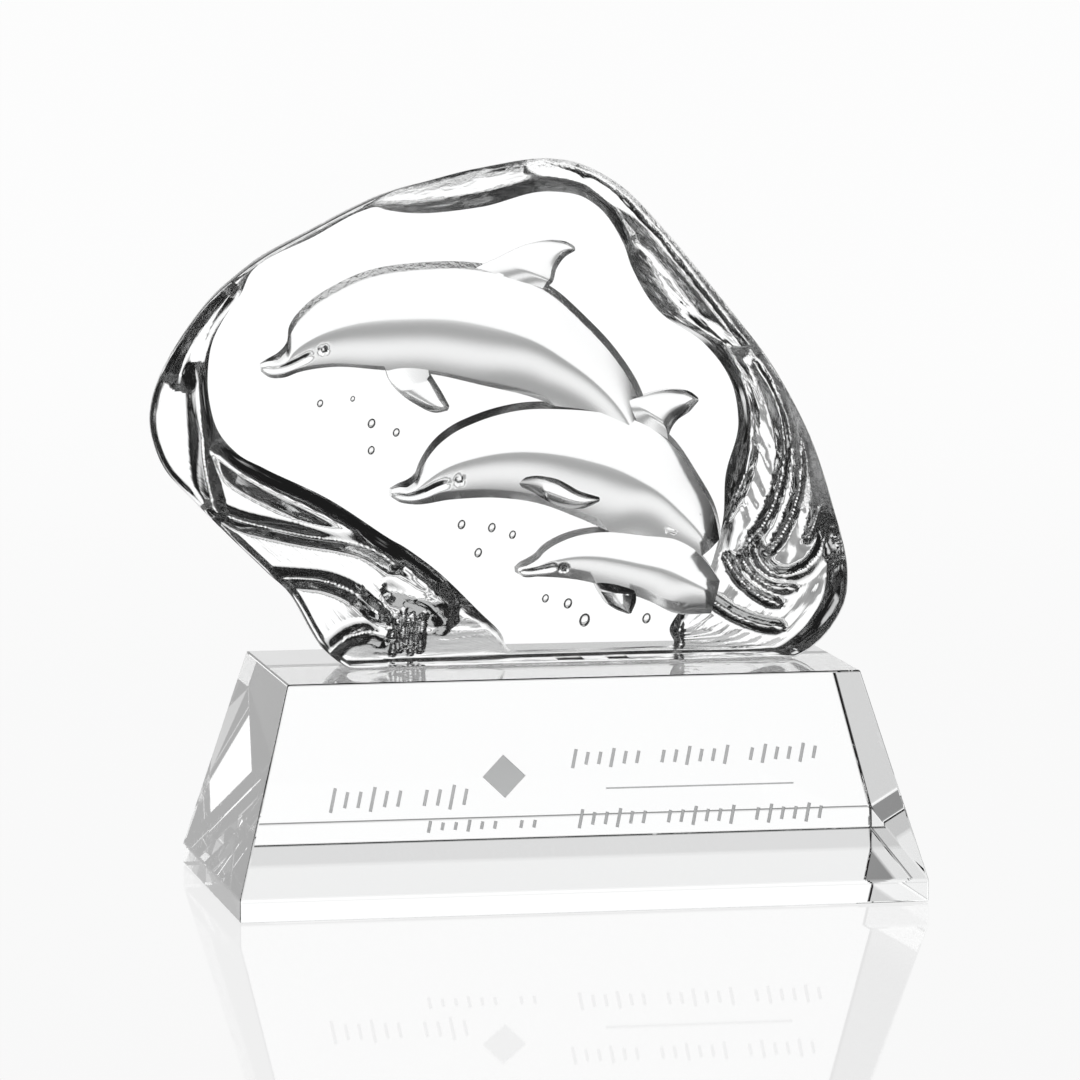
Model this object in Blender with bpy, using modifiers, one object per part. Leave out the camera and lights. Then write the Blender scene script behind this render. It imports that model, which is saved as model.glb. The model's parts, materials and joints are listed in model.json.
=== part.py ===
"""A clear crystal award: three leaping dolphins in the back of a polished slab, on a sloped crystal block.

The slab's front is flat and polished. Its back is a flat window framed by a carved rim of water, and the
dolphins and droplets are hollows in that back, seen through the front. Lengths are in metres, +Z is up, +Y
points to the back, and the origin is the centre of the block's underside.
"""

import math

import bmesh
import bpy
import numpy as np
from mathutils import Matrix, Vector

# Base block
BASE_WIDTH = 0.178
BASE_DEPTH = 0.0976
BASE_HEIGHT = 0.0581
FOOT_HEIGHT = 0.0057
END_INSET = 0.0147
FACE_INSET = 0.0152
BASE_ARRIS = 0.0005
ARRIS_STEPS = 2

# Engraved strokes on the front of the block, as shares of its width and height: start, end, middle, height
STROKE_ROWS = (
    (-0.370, -0.160, 0.508, 0.110),
    (-0.233, -0.062, 0.386, 0.052),
    (-0.018, 0.370, 0.656, 0.085),
    (-0.013, 0.355, 0.401, 0.085),
)
DIVIDER = (0.035, 0.309, 0.527, 0.006)
LOZENGE = (-0.112, 0.590, 0.190)
STROKE_PITCH = 0.0032
STROKE_WIDTH = 0.0008
STROKE_DEPTH = 0.0004
STROKE_LEAN = math.radians(14)
STROKES_IN_GROUP = 7

# Slab
BOND_GAP = 0.0003
SLAB_HEIGHT = 0.130
SLAB_AHEAD = 0.008
FOOT_THICKNESS = 0.025
TOP_THICKNESS = 0.0081
SIDE_THICKENING_SHARE = 0.04
FRONT_ARRIS = 0.0008
OUTER_ROUND = 0.0024
WINDOW_SILL = 0.0015
BROAD_RIM = 0.010
LEAST_THICKNESS = 0.0025
OUTLINE_STEPS = 165
RIM_STEPS = 11
LINE_STEPS = 40

# Wall between the window and the sunk rim: its least width, how much each step down widens it, and its curve
WALL_WIDTH = 0.0011
WALL_SPREAD = 0.8
WALL_POWER = 1.4

# The slab is drawn 130 units high. A unit is a share of its height
DRAWN_HEIGHT = 130
UNIT = SLAB_HEIGHT / DRAWN_HEIGHT

# Stations clockwise from the left: outline x and z, window edge x and z, step down from the window, and the
# share of the thickness that is left at the outline
STATIONS = (
    (-79.5, 103.5, -78.3, 101.7, 0.8, 0.50),
    (-62.5, 113.0, -61.4, 111.0, 0.8, 0.50),
    (-50.5, 119.0, -49.8, 117.0, 0.8, 0.50),
    (-46.0, 121.0, -46.2, 118.0, 1.0, 0.50),
    (-41.0, 122.8, -43.2, 117.2, 2.0, 0.45),
    (-34.5, 124.5, -37.0, 116.3, 3.5, 0.40),
    (-19.5, 128.0, -19.0, 117.5, 4.0, 0.40),
    (-0.5, 130.0, -1.0, 121.3, 4.0, 0.40),
    (6.0, 128.8, 6.0, 120.5, 4.0, 0.40),
    (15.0, 124.3, 11.7, 117.5, 4.5, 0.40),
    (28.5, 111.3, 19.0, 107.5, 5.0, 0.35),
    (36.0, 102.5, 21.5, 101.0, 5.5, 0.35),
    (47.0, 89.0, 29.0, 89.5, 6.0, 0.35),
    (56.0, 77.3, 41.0, 81.0, 6.5, 0.35),
    (65.0, 61.5, 49.5, 67.5, 6.5, 0.35),
    (67.5, 56.0, 50.5, 60.5, 6.0, 0.35),
    (72.5, 41.0, 47.5, 47.0, 5.0, 0.40),
    (77.0, 22.0, 46.5, 32.0, 4.0, 0.40),
    (74.3, 10.0, 41.0, 16.0, 3.0, 0.50),
    (70.0, 4.5, 37.0, 12.0, 3.0, 0.60),
    (63.0, 0.0, 33.5, 7.0, 3.0, 0.85),
    (48.0, 0.0, 34.5, 2.5, 2.0, 0.92),
    (33.0, 0.0, 33.0, 1.5, 0.0, 0.92),
    (12.0, 0.0, 12.0, 1.5, 0.0, 0.92),
    (-9.0, 0.0, -9.0, 1.5, 0.0, 0.92),
    (-22.0, 0.0, -12.0, 6.5, 2.2, 0.92),
    (-35.5, 0.0, -17.0, 11.5, 3.5, 0.90),
    (-54.0, 0.0, -30.0, 24.0, 6.0, 0.80),
    (-60.0, 4.5, -36.0, 28.5, 6.5, 0.50),
    (-68.5, 18.5, -42.5, 32.5, 6.5, 0.40),
    (-75.0, 25.0, -55.0, 41.0, 6.5, 0.40),
    (-93.5, 43.5, -74.5, 51.0, 6.5, 0.40),
    (-101.5, 52.5, -81.5, 55.0, 6.0, 0.40),
    (-105.0, 63.0, -87.0, 62.0, 5.5, 0.40),
    (-104.5, 70.0, -89.0, 70.0, 5.5, 0.40),
    (-101.0, 79.0, -89.0, 79.5, 5.0, 0.40),
    (-91.5, 93.0, -85.5, 89.5, 4.0, 0.40),
    (-86.5, 98.0, -81.0, 96.0, 2.0, 0.45),
)

# Lines of water on the rim, from end to end: rise, half width and points. A sunk line has a negative rise
RIM_LINES = (
    (3.6, 2.3, ((-82.5, 97), (-90.5, 87), (-96, 77.5), (-98, 70))),
    (-4.4, 2.0, ((-92, 80), (-91.5, 72), (-91, 64.5), (-90, 56), (-89.5, 47.5), (-89.5, 39))),
    (-4.8, 2.6, (
        (-89, 57), (-81, 50.5), (-72, 45.5), (-63, 41), (-52.5, 35), (-44, 29.5), (-34, 21.5), (-24, 12.5))),
    (-4.4, 1.9, (
        (-91, 42.5), (-82.5, 38.5), (-73.5, 36), (-65, 34), (-54.5, 32), (-46.5, 29.5), (-39.5, 24))),
    (-4.2, 1.9, ((-75, 23.5), (-65, 22.5), (-58, 21.5), (-51.5, 18.5), (-46.5, 14), (-41, 8))),
    (4.2, 2.1, ((-41, 119.6), (-30, 121), (-16, 123.5), (-1, 126), (8, 123.5))),
    (3.6, 2.5, ((22, 110), (25.5, 103.5), (32, 95.5), (40, 87))),
    (-3.8, 2.0, (
        (46, 84), (54, 75.5), (56.5, 67.5), (57.5, 59.5), (57.5, 52), (55.5, 45), (52, 35), (48, 29))),
    (-3.0, 1.9, ((61.5, 71), (64.5, 63), (66.3, 55), (66.6, 46.5), (65.5, 37.5), (62, 29), (58.5, 23.5))),
    (3.0, 2.0, ((75, 36), (73.5, 27), (68.5, 20.8), (61.5, 19.8), (57, 23.5), (54.5, 31))),
    (3.0, 2.0, ((42, 15), (51, 9), (57.5, 6.5), (64, 5.5))),
)
LINE_SOFTNESS = 0.0010
LINE_FADE_SHARE = 0.12

# Each dolphin: upper outline, lower outline, depth of the walls and of the dome as shares of the slab
DOLPHINS = {
    "upper": (
        ((-75.8, 78.2), (-72.5, 80.2), (-69, 83.3), (-68.3, 87.5), (-63, 94), (-50, 101), (-34, 103.5),
         (-18.5, 103), (0, 96.7), (9.5, 88.5), (17.5, 80), (24.5, 69), (27, 61)),
        ((-75.6, 76.0), (-72.5, 74.6), (-68, 75), (-57.5, 77), (-44.5, 76), (-30.5, 74.5), (-18, 71.5),
         (-4.5, 68), (11, 60.5), (18, 55)),
        0.18, 0.36),
    "middle": (
        ((-41.6, 45.0), (-38.5, 46.7), (-35.2, 48.3), (-34, 50.5), (-30, 57.5), (-20, 63.5), (-8, 66.5),
         (4, 66.5), (16, 65), (24.5, 62.5), (32, 57.5), (39.5, 47.5), (45, 37.5), (46.5, 31)),
        ((-41.6, 43.0), (-39.5, 41.7), (-36, 41), (-26, 42), (-14, 42.2), (-3, 40.5), (7.5, 36.5),
         (16.5, 32.5), (26.5, 29.5), (38.5, 24)),
        0.26, 0.30),
    "small": (
        ((-8.4, 23.6), (-5.5, 25.5), (-3, 26.7), (-1.5, 28.5), (4.5, 32), (12, 33.5), (24.5, 32.5),
         (36.5, 30), (41.5, 25.5), (45.5, 20)),
        ((-8.2, 22.2), (-7, 21.5), (-3, 21.4), (9, 20), (17.5, 17.5), (27, 14), (33, 11), (43, 10.5)),
        0.32, 0.22),
}

# Each fin: leading edge, trailing edge and depth as a share of the slab
FINS = {
    "upper_back_fin": (
        ((-16, 97), (-14, 105), (-4.5, 108.5), (0.5, 109), (5, 107.7), (5.9, 106.9)),
        ((1, 93), (0.3, 99.5), (2, 102.5), (5, 105), (5.9, 105.9)), 0.20),
    "upper_side_fin": (
        ((-44, 80), (-43, 74.5), (-40.5, 71), (-36, 67.5), (-30, 64.7), (-27.2, 65.2)),
        ((-33, 80), (-31, 74.5), (-28.5, 69.5), (-26.8, 66.6)), 0.34),
    "middle_back_fin": (
        ((17, 60), (20, 66.3), (24.5, 68), (32.5, 69.5), (37, 68.7), (38.8, 67.3)),
        ((31, 53), (32, 59.5), (33.5, 61.5), (36.5, 63.5), (38.8, 66.1)), 0.30),
    "middle_side_fin": (
        ((-9.6, 46.6), (-4, 48), (0.5, 47.3), (8, 43.5), (12.3, 42.2)),
        ((-9.3, 45.6), (-5, 43.7), (-0.5, 41), (8, 39.3), (12.1, 40.9)), 0.58),
    "small_back_fin": (
        ((24, 29), (25.5, 33), (31.5, 35.5), (36.5, 37), (39.8, 37.2)),
        ((35, 27), (36.5, 31), (37, 33.5), (40, 36.4)), 0.36),
    "small_side_fin": (
        ((11, 22), (13.5, 17), (16.5, 13), (20.2, 11.3)),
        ((22, 19), (22.7, 14.5), (21.6, 11.6)), 0.44),
}

# Droplets: x, z and radius
DROPLETS = (
    (-60, 67.5, 1.0), (-51.5, 68.5, 0.7), (-46.5, 62, 1.2), (-40, 59.5, 1.1), (-46.5, 55, 1.1),
    (-22.5, 35, 1.2), (-14.5, 34, 1.2), (-9, 32, 1.1), (-18, 27.5, 1.2), (0, 15, 1.0), (6, 13.5, 1.3),
    (10.5, 9, 1.6), (27, 9, 1.2),
)

# Grids of the hollows
BODY_ALONG = 22
BODY_ACROSS = 7
FIN_ALONG = 8
FIN_ACROSS = 3
CUT_THROUGH = 0.004
DROPLET_SIDES = 8
DROPLET_RINGS = 5
SMOOTH_ANGLE = math.radians(30)

CRYSTAL_COLOUR = (0.97, 0.98, 0.98, 1.0)
CRYSTAL_IOR = 1.52
CRYSTAL_ROUGHNESS = 0.01


def clear_scene():
    for thing in list(bpy.data.objects):
        bpy.data.objects.remove(thing, do_unlink=True)


def new_collection(name):
    group = bpy.data.collections.new(name)
    bpy.context.scene.collection.children.link(group)
    return group


def new_object(name, mesh, group):
    data = bpy.data.meshes.new(name)
    mesh.to_mesh(data)
    mesh.free()
    thing = bpy.data.objects.new(name, data)
    group.objects.link(thing)
    return thing


def mark_as_cutter(thing):
    thing.hide_render = True
    thing.display_type = "WIRE"


def crystal_material(name):
    material = bpy.data.materials.new(name)
    material.use_nodes = True
    shader = material.node_tree.nodes["Principled BSDF"]
    shader.inputs["Base Color"].default_value = CRYSTAL_COLOUR
    shader.inputs["Roughness"].default_value = CRYSTAL_ROUGHNESS
    shader.inputs["Metallic"].default_value = 0.0
    shader.inputs["IOR"].default_value = CRYSTAL_IOR
    shader.inputs["Transmission Weight"].default_value = 1.0
    return material


def cut_with(thing, cutters):
    cut = thing.modifiers.new("hollows", "BOOLEAN")
    cut.operation = "DIFFERENCE"
    cut.solver = "EXACT"
    cut.operand_type = "COLLECTION"
    cut.collection = cutters


def smooth_curve(points, count, closed=False):
    """Rows spaced evenly along a smooth curve through the given rows of numbers."""
    knots = np.array(points, dtype=float)
    if closed:
        knots = np.vstack([knots, knots[:1]])
    spans = np.linalg.norm(np.diff(knots, axis=0), axis=1)
    slopes = np.diff(knots, axis=0) / spans[:, None]
    first = -1 if closed else 0
    last = 0 if closed else -1
    slope_before = np.vstack([slopes[first], slopes])
    slope_after = np.vstack([slopes, slopes[last]])
    span_before = np.append(spans[first], spans)[:, None]
    span_after = np.append(spans, spans[last])[:, None]
    tangents = (slope_before * span_after + slope_after * span_before) / (span_before + span_after)
    starts = np.append(0.0, np.cumsum(spans))
    places = np.linspace(0.0, starts[-1], count, endpoint=not closed)
    at = np.clip(np.searchsorted(starts, places, side="right") - 1, 0, len(spans) - 1)
    span = spans[at][:, None]
    t = ((places - starts[at]) / spans[at])[:, None]
    return (
        (2 * t**3 - 3 * t**2 + 1) * knots[at]
        + (t**3 - 2 * t**2 + t) * span * tangents[at]
        + (3 * t**2 - 2 * t**3) * knots[at + 1]
        + (t**3 - t**2) * span * tangents[at + 1]
    )


def full_thickness(x, z):
    """Thickness of the slab at its window, for x and z in drawn units."""
    lean = (TOP_THICKNESS - FOOT_THICKNESS) * z / DRAWN_HEIGHT
    return FOOT_THICKNESS + lean + SIDE_THICKENING_SHARE * x * UNIT


def slab_point(x, z, depth):
    """A point of the slab: x and z in drawn units, depth in metres behind its front."""
    return Vector((x * UNIT, depth - SLAB_AHEAD, BASE_HEIGHT + BOND_GAP + z * UNIT))


def make_base(parts):
    """A block with a short upright foot and four sloping sides."""
    mesh = bmesh.new()
    bmesh.ops.create_cube(mesh, size=1.0)
    bmesh.ops.scale(mesh, vec=(BASE_WIDTH, BASE_DEPTH, FOOT_HEIGHT), verts=mesh.verts)
    bmesh.ops.translate(mesh, vec=(0, 0, FOOT_HEIGHT / 2), verts=mesh.verts)
    foot_top = [face for face in mesh.faces if face.normal.z > 0.5]
    raised = bmesh.ops.extrude_face_region(mesh, geom=foot_top)["geom"]
    bmesh.ops.delete(mesh, geom=foot_top, context="FACES_ONLY")
    top = [part for part in raised if isinstance(part, bmesh.types.BMVert)]
    bmesh.ops.translate(mesh, vec=(0, 0, BASE_HEIGHT - FOOT_HEIGHT), verts=top)
    shrink = (1 - 2 * END_INSET / BASE_WIDTH, 1 - 2 * FACE_INSET / BASE_DEPTH, 1)
    bmesh.ops.scale(mesh, vec=shrink, verts=top)
    bmesh.ops.recalc_face_normals(mesh, faces=mesh.faces)
    base = new_object("crystal_base", mesh, parts)
    arris = base.modifiers.new("arris", "BEVEL")
    arris.width = BASE_ARRIS
    arris.segments = ARRIS_STEPS
    base.data.materials.append(crystal_material("base_crystal"))
    return base


def on_base_front(x_share, z_share):
    """The place and tilt of a point on the sloping front of the block."""
    height = z_share * BASE_HEIGHT
    run = BASE_HEIGHT - FOOT_HEIGHT
    y = FACE_INSET * (height - FOOT_HEIGHT) / run - BASE_DEPTH / 2
    tilt = Matrix.Rotation(-math.atan2(FACE_INSET, run), 4, "X")
    return Matrix.Translation((x_share * BASE_WIDTH, y, height)) @ tilt


def add_stroke(mesh, x_share, z_share, width, height, lean):
    place = on_base_front(x_share, z_share) @ Matrix.Rotation(lean, 4, "Y")
    size = Matrix.Diagonal((width, 2 * STROKE_DEPTH, height, 1.0))
    bmesh.ops.create_cube(mesh, size=1.0, matrix=place @ size)


def make_strokes(cutters):
    """Rows of upright strokes, a divider and a lozenge where an award carries its inscription."""
    mesh = bmesh.new()
    for start, end, middle, tall in STROKE_ROWS:
        count = int((end - start) * BASE_WIDTH / STROKE_PITCH)
        for step in range(count):
            if step % STROKES_IN_GROUP == STROKES_IN_GROUP - 1:
                continue
            x_share = start + (end - start) * (step + 0.5) / count
            height = tall * BASE_HEIGHT * (1.0 if step % 3 == 0 else 0.65)
            add_stroke(mesh, x_share, middle, STROKE_WIDTH, height, STROKE_LEAN)
    start, end, middle, tall = DIVIDER
    width = (end - start) * BASE_WIDTH
    add_stroke(mesh, (start + end) / 2, middle, width, tall * BASE_HEIGHT, 0.0)
    x_share, middle, tall = LOZENGE
    side = tall * BASE_HEIGHT / math.sqrt(2)
    add_stroke(mesh, x_share, middle, side, side, math.radians(45))
    mark_as_cutter(new_object("strokes", mesh, cutters))


def line_rise(x, z, rise, wide, line):
    """How far a line of water stands up or is sunk at a place, in drawn units, fading out at its ends."""
    runs = np.diff(line, axis=0)
    away = np.array((x, z)) - line[:-1]
    shares = np.clip(np.sum(away * runs, axis=1) / np.sum(runs**2, axis=1), 0.0, 1.0)
    distances = np.linalg.norm(away - runs * shares[:, None], axis=1)
    at = int(np.argmin(distances))
    nearest, along = distances[at], (at + shares[at]) / len(runs)
    fade = min(1.0, min(along, 1 - along) / LINE_FADE_SHARE) ** 0.5
    if rise > 0:
        return rise * fade * math.exp(-((nearest / wide) ** 2))
    soft = LINE_SOFTNESS / UNIT
    return rise * fade * math.exp(-(math.hypot(nearest, soft) - soft) / wide)


def rim_thickness(station, share, lines):
    """Place and thickness on the rim, from the outline (share 0) to the window's edge (share 1)."""
    outline, window = station[0:2], station[2:4]
    ledge, edge_share = station[4:6]
    width = np.linalg.norm(window - outline) * UNIT
    crowding = min(1.0, width / BROAD_RIM)
    share += crowding * (0.5 - 0.5 * math.cos(math.pi * share) - share)
    x, z = outline + (window - outline) * share
    full = full_thickness(x, z)
    from_window = (1 - share) * width
    from_outline = share * width
    wall_width = WALL_WIDTH + WALL_SPREAD * ledge * UNIT
    wall = min(1.0, from_window / min(wall_width, 0.5 * width))
    level = full - ledge * UNIT * (1 - (1 - wall) ** WALL_POWER)
    rise = sum(line_rise(x, z, *line) for line in lines)
    level += rise * UNIT * min(1.0, from_window / OUTER_ROUND)
    level = max(level, LEAST_THICKNESS)
    rounding = min(1.0, from_outline / min(OUTER_ROUND, 0.4 * width))
    edge = edge_share * level
    return x, z, edge + (level - edge) * math.sqrt(1 - (1 - rounding) ** 2)


def slab_rings():
    """Closed rings from the front's edge, over the outline and across the rim to the window's edge."""
    stations = smooth_curve(STATIONS, OUTLINE_STEPS, closed=True)
    stations[:, 1] = np.maximum(stations[:, 1], 0.0)
    stations[:, 3] = np.maximum(stations[:, 3], WINDOW_SILL / UNIT)
    lines = [(rise, wide, smooth_curve(points, LINE_STEPS)) for rise, wide, points in RIM_LINES]
    arris = FRONT_ARRIS / UNIT
    along = np.roll(stations[:, :2], -1, axis=0) - np.roll(stations[:, :2], 1, axis=0)
    inward = np.column_stack([along[:, 1], -along[:, 0]])
    inward /= np.linalg.norm(inward, axis=1)[:, None]
    front = stations[:, :2] + inward * arris
    front[:, 1] = np.maximum(front[:, 1], arris)
    rings = [[slab_point(x, z, 0.0) for x, z in front]]
    rings.append([slab_point(x, z, FRONT_ARRIS) for x, z in stations[:, :2]])
    for step in range(RIM_STEPS + 1):
        rings.append([slab_point(*rim_thickness(station, step / RIM_STEPS, lines)) for station in stations])
    return rings


def make_slab(parts):
    """The slab as a ring-shaped grid, closed by its flat front and its flat window."""
    rings = slab_rings()
    mesh = bmesh.new()
    bmesh.ops.create_grid(mesh, x_segments=OUTLINE_STEPS, y_segments=len(rings) - 1, size=0.5)
    for vert in mesh.verts:
        place = round((vert.co.x + 0.5) * OUTLINE_STEPS) % OUTLINE_STEPS
        ring = round((vert.co.y + 0.5) * (len(rings) - 1))
        vert.co = rings[ring][place]
    bmesh.ops.remove_doubles(mesh, verts=mesh.verts, dist=1e-6)
    bmesh.ops.holes_fill(mesh, edges=mesh.edges)
    bmesh.ops.recalc_face_normals(mesh, faces=mesh.faces)
    slab = new_object("dolphin_crystal", mesh, parts)
    slab.data.shade_smooth()
    slab.data.set_sharp_from_angle(angle=SMOOTH_ANGLE)
    slab.data.materials.append(crystal_material("sculpture_crystal"))
    return slab


def make_hollow(name, cutters, upper, lower, wall, dome, along, across):
    """A cutter between two outlines, with straight walls and a domed floor towards the slab's front."""
    top = smooth_curve(upper, along + 1)
    bottom = smooth_curve(lower, along + 1)
    girth = np.linalg.norm(top - bottom, axis=1)
    mesh = bmesh.new()
    bmesh.ops.create_grid(mesh, x_segments=along, y_segments=across, size=0.5)
    for vert in mesh.verts:
        step = round((vert.co.x + 0.5) * along)
        side = vert.co.y + 0.5
        x, z = bottom[step] + (top[step] - bottom[step]) * side
        round_share = math.sqrt(max(0.0, 1 - (2 * side - 1) ** 2)) * girth[step] / girth.max()
        full = full_thickness(x, z)
        vert.co = slab_point(x, z, full * (1 - wall - dome * round_share))
    made = bmesh.ops.extrude_face_region(mesh, geom=mesh.faces[:])["geom"]
    out = [part for part in made if isinstance(part, bmesh.types.BMVert)]
    for vert in out:
        vert.co.y = FOOT_THICKNESS + CUT_THROUGH
    bmesh.ops.recalc_face_normals(mesh, faces=mesh.faces)
    mark_as_cutter(new_object(name, mesh, cutters))


def make_droplets(cutters):
    """Small round hollows scattered round the dolphins."""
    mesh = bmesh.new()
    for x, z, radius in DROPLETS:
        place = Matrix.Translation(slab_point(x, z, full_thickness(x, z)))
        bmesh.ops.create_uvsphere(
            mesh, u_segments=DROPLET_SIDES, v_segments=DROPLET_RINGS, radius=radius * UNIT, matrix=place)
    mark_as_cutter(new_object("droplets", mesh, cutters))


def main():
    clear_scene()
    parts = new_collection("dolphin_award")
    base_cutters = new_collection("base_cutters")
    slab_cutters = new_collection("slab_cutters")
    base = make_base(parts)
    make_strokes(base_cutters)
    cut_with(base, base_cutters)
    slab = make_slab(parts)
    for name, (upper, lower, wall, dome) in DOLPHINS.items():
        make_hollow(name, slab_cutters, upper, lower, wall, dome, BODY_ALONG, BODY_ACROSS)
    for name, (leading, trailing, deep) in FINS.items():
        make_hollow(name, slab_cutters, leading, trailing, deep, 0.0, FIN_ALONG, FIN_ACROSS)
    make_droplets(slab_cutters)
    cut_with(slab, slab_cutters)


main()
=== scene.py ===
"""Looks of a clear crystal award: three dolphins pressed into the back of a polished slab on a sloped block.

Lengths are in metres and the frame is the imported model's: +Z up, +Y to the back.
"""

import json
import math

import bmesh
import bpy
import numpy as np
from mathutils import Matrix, Vector, noise

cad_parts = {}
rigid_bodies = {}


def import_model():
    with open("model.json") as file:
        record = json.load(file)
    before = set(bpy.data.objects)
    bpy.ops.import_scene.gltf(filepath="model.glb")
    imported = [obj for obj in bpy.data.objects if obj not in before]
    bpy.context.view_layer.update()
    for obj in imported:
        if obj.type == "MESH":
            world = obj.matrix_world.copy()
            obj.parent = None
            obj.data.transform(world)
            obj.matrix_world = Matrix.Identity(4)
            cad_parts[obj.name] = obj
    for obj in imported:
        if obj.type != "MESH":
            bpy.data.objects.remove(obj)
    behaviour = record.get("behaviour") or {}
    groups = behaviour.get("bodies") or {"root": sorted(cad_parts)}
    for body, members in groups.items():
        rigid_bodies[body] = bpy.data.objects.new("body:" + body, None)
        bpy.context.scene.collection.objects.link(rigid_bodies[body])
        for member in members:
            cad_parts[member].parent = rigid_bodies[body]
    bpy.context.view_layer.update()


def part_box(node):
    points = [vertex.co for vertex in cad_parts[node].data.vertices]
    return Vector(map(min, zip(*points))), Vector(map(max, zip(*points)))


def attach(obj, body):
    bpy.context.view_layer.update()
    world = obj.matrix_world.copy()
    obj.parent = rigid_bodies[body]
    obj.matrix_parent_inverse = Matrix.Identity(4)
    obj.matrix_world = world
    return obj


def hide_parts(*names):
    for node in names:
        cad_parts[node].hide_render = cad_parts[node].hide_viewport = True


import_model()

bl_info = {
    "name": "Crystal Dolphin Award",
    "version": (1, 0, 0),
    "blender": (4, 5, 0),
    "location": "View3D > Sidebar > Award",
    "description": "Builds a clear crystal award with three dolphins pressed into its back",
    "category": "Object",
}

BODY = "root"
SLAB_LOW, SLAB_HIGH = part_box("dolphin_crystal")
BASE_LOW, BASE_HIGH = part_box("crystal_base")

# Block
FOOT_HEIGHT = 0.0057
END_INSET = 0.0147
FACE_INSET = 0.0152
BASE_ARRIS = 0.0005

# Engraved strokes on the front of the block, as shares of its width and height: start, end, middle, height
STROKE_ROWS = (
    (-0.370, -0.160, 0.508, 0.110),
    (-0.233, -0.062, 0.386, 0.052),
    (-0.018, 0.370, 0.656, 0.085),
    (-0.013, 0.355, 0.401, 0.085),
)
DIVIDER = (0.035, 0.309, 0.527, 0.006)
LOZENGE = (-0.112, 0.590, 0.190)
STROKE_PITCH = 0.0032
STROKE_WIDTH = 0.0008
STROKE_DEPTH = 0.0004
STROKE_LEAN = math.radians(14)
STROKES_IN_GROUP = 7
TALL_STROKE_EVERY = 3
SHORT_STROKE = 0.65
# Grey tint of the engraved strokes: painted shade that makes them darker than the clear crystal
STROKE_PAINTED_SHADE = (0.42, 0.43, 0.43, 1.0)

# The slab is drawn 130.1 units high, from its underside up, and its front is at depth 0
DRAWN_HEIGHT = 130.1
UNIT = (SLAB_HIGH.z - SLAB_LOW.z) / DRAWN_HEIGHT
FOOT_THICKNESS = 25.0
TOP_THICKNESS = 8.1
THICKNESS_RUN = 130.0
SIDE_THICKENING = 0.04
FRONT_ARRIS = 0.8
WINDOW_SILL = 1.5
LEAST_THICKNESS = 2.5
DRAWN_PERIMETER = 560.0
SEAM_GAP = 1e-7

# Wall down from the window: width, growth with the step down, widest share of the rim, power of its curve
WALL_WIDTH = 1.1
WALL_SPREAD = 0.8
WALL_SHARE = 0.5
WALL_POWER = 1.4

# Rounding of the outer edge and its widest share of the rim
OUTER_ROUND = 3.4
ROUND_SHARE = 0.4

# Rows are crowded towards both edges of a rim, fully where it is this broad
BROAD_RIM = 10.0
RIM_CROWDING = 0.3

# Stations clockwise from the left: outline x and z, window edge x and z, step down from the window, the share
# of the thickness that is left at the outline, and how rough the moulded surface is
STATIONS = (
    (-79.5, 103.5, -78.3, 101.7, 0.8, 0.50, 0.1),
    (-62.5, 113.0, -61.4, 111.0, 0.8, 0.50, 0.0),
    (-50.5, 119.0, -49.8, 117.0, 0.8, 0.50, 0.0),
    (-46.0, 121.0, -46.2, 118.0, 1.0, 0.50, 0.2),
    (-41.0, 122.8, -43.2, 117.2, 2.0, 0.45, 0.4),
    (-34.5, 124.5, -37.0, 116.3, 3.5, 0.40, 0.6),
    (-19.5, 128.0, -19.0, 117.5, 4.0, 0.40, 0.6),
    (-0.5, 130.0, -1.0, 121.3, 4.0, 0.40, 0.9),
    (6.0, 128.8, 6.0, 120.5, 4.0, 0.40, 1.0),
    (15.0, 124.3, 11.7, 117.5, 4.5, 0.40, 1.0),
    (28.5, 111.3, 19.0, 107.5, 5.0, 0.35, 0.8),
    (36.0, 102.5, 21.5, 101.0, 5.5, 0.35, 0.7),
    (47.0, 89.0, 29.0, 89.5, 6.0, 0.35, 0.9),
    (56.0, 77.3, 41.0, 81.0, 6.5, 0.35, 1.0),
    (65.0, 61.5, 49.5, 67.5, 6.5, 0.35, 0.8),
    (67.5, 56.0, 50.5, 60.5, 6.0, 0.35, 0.8),
    (72.5, 41.0, 47.5, 47.0, 5.0, 0.40, 0.7),
    (77.0, 22.0, 46.5, 32.0, 4.0, 0.40, 0.6),
    (74.3, 10.0, 41.0, 16.0, 3.0, 0.50, 0.3),
    (70.0, 4.5, 37.0, 12.0, 3.0, 0.60, 0.4),
    (63.0, 0.0, 33.5, 7.0, 3.0, 0.85, 0.6),
    (48.0, 0.0, 34.5, 2.5, 2.0, 0.92, 0.4),
    (33.0, 0.0, 33.0, 1.5, 0.0, 0.92, 0.0),
    (12.0, 0.0, 12.0, 1.5, 0.0, 0.92, 0.0),
    (-9.0, 0.0, -9.0, 1.5, 0.0, 0.92, 0.0),
    (-22.0, 0.0, -12.0, 6.5, 1.0, 0.92, 0.0),
    (-35.5, 0.0, -17.0, 11.5, 2.4, 0.90, 0.5),
    (-54.0, 0.0, -30.0, 24.0, 6.0, 0.80, 0.5),
    (-60.0, 4.5, -36.0, 28.5, 6.5, 0.50, 0.05),
    (-68.5, 18.5, -42.5, 32.5, 6.5, 0.40, 0.0),
    (-75.0, 25.0, -55.0, 41.0, 6.5, 0.40, 0.0),
    (-93.5, 43.5, -74.5, 51.0, 6.5, 0.40, 0.0),
    (-101.5, 52.5, -81.5, 55.0, 6.0, 0.40, 0.0),
    (-105.0, 63.0, -87.0, 62.0, 5.5, 0.40, 0.0),
    (-104.5, 70.0, -89.0, 70.0, 5.5, 0.40, 0.0),
    (-101.0, 79.0, -89.0, 79.5, 5.0, 0.40, 0.3),
    (-91.5, 93.0, -85.5, 89.5, 4.0, 0.40, 0.4),
    (-86.5, 98.0, -81.0, 96.0, 2.0, 0.45, 0.3),
)

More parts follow.
